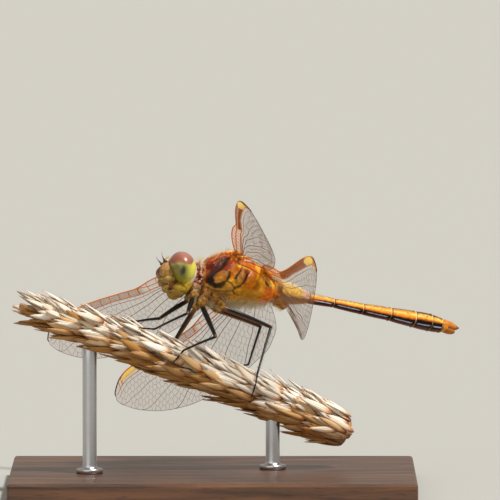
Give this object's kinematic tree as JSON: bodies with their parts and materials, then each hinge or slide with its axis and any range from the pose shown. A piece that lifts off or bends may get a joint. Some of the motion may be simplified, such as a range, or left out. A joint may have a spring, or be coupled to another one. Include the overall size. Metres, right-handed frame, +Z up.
{
  "type": "dragonfly",
  "caption": "Life-size still model of a darter dragonfly with half-raised wings, gripping a cut length of dry grass spike held over a flat display base by short rods.",
  "frame": {"origin": "middle of the base's underside, at the level the stand rests on", "axes": "+Z up; +X to the right along the base's long side, the way the abdomen points; -Y to the viewer, the side that the insect's left eye faces"},
  "size_m": [0.0446, 0.043, 0.0298],
  "materials": {
    "cornea": "glossy compound eye, red-brown above and yellow-green below",
    "head_cuticle": "satin ochre-yellow face",
    "thorax_cuticle": "satin orange and yellow with black seams",
    "abdomen_cuticle": "semi-gloss orange above, black band along the side",
    "leg_cuticle": "gloss black",
    "wing_membrane": "clear glossy membrane",
    "wing_vein": "orange-brown to black veins",
    "bristle": "pale fine hair",
    "dry_straw": "dry matt straw",
    "stand_wood": "dark oiled hardwood",
    "stand_steel": "brushed"
  },
  "bodies": {
    "root": {"abdomen_1": "abdomen_cuticle", "abdomen_10": "abdomen_cuticle", "abdomen_2": "abdomen_cuticle", "abdomen_3": "abdomen_cuticle", "abdomen_4": "abdomen_cuticle", "abdomen_5": "abdomen_cuticle", "abdomen_6": "abdomen_cuticle", "abdomen_7": "abdomen_cuticle", "abdomen_8": "abdomen_cuticle", "abdomen_9": "abdomen_cuticle", "antenna_left": "leg_cuticle", "antenna_right": "leg_cuticle", "cercus_left": "abdomen_cuticle", "cercus_right": "abdomen_cuticle", "eye_left": "cornea", "eye_right": "cornea", "face": "head_cuticle", "forewing_left": "wing_membrane", "forewing_right": "wing_membrane", "hamules": "thorax_cuticle", "head": "head_cuticle", "hindwing_left": "wing_membrane", "hindwing_right": "wing_membrane", "leg_front_left_coxa": "thorax_cuticle", "leg_front_left_femur": "leg_cuticle", "leg_front_left_tarsus": "leg_cuticle", "leg_front_left_tibia": "leg_cuticle", "leg_front_right_coxa": "thorax_cuticle", "leg_front_right_femur": "leg_cuticle", "leg_front_right_tarsus": "leg_cuticle", "leg_front_right_tibia": "leg_cuticle", "leg_hind_left_coxa": "thorax_cuticle", "leg_hind_left_femur": "leg_cuticle", "leg_hind_left_tarsus": "leg_cuticle", "leg_hind_left_tibia": "leg_cuticle", "leg_hind_right_coxa": "thorax_cuticle", "leg_hind_right_femur": "leg_cuticle", "leg_hind_right_tarsus": "leg_cuticle", "leg_hind_right_tibia": "leg_cuticle", "leg_mid_left_coxa": "thorax_cuticle", "leg_mid_left_femur": "leg_cuticle", "leg_mid_left_tarsus": "leg_cuticle", "leg_mid_left_tibia": "leg_cuticle", "leg_mid_right_coxa": "thorax_cuticle", "leg_mid_right_femur": "leg_cuticle", "leg_mid_right_tarsus": "leg_cuticle", "leg_mid_right_tibia": "leg_cuticle", "mouth": "head_cuticle", "perch": "dry_straw", "prothorax": "thorax_cuticle", "stand_base": "stand_wood", "stand_rod_high": "stand_steel", "stand_rod_low": "stand_steel", "synthorax": "thorax_cuticle"}
  },
  "joints": []
}
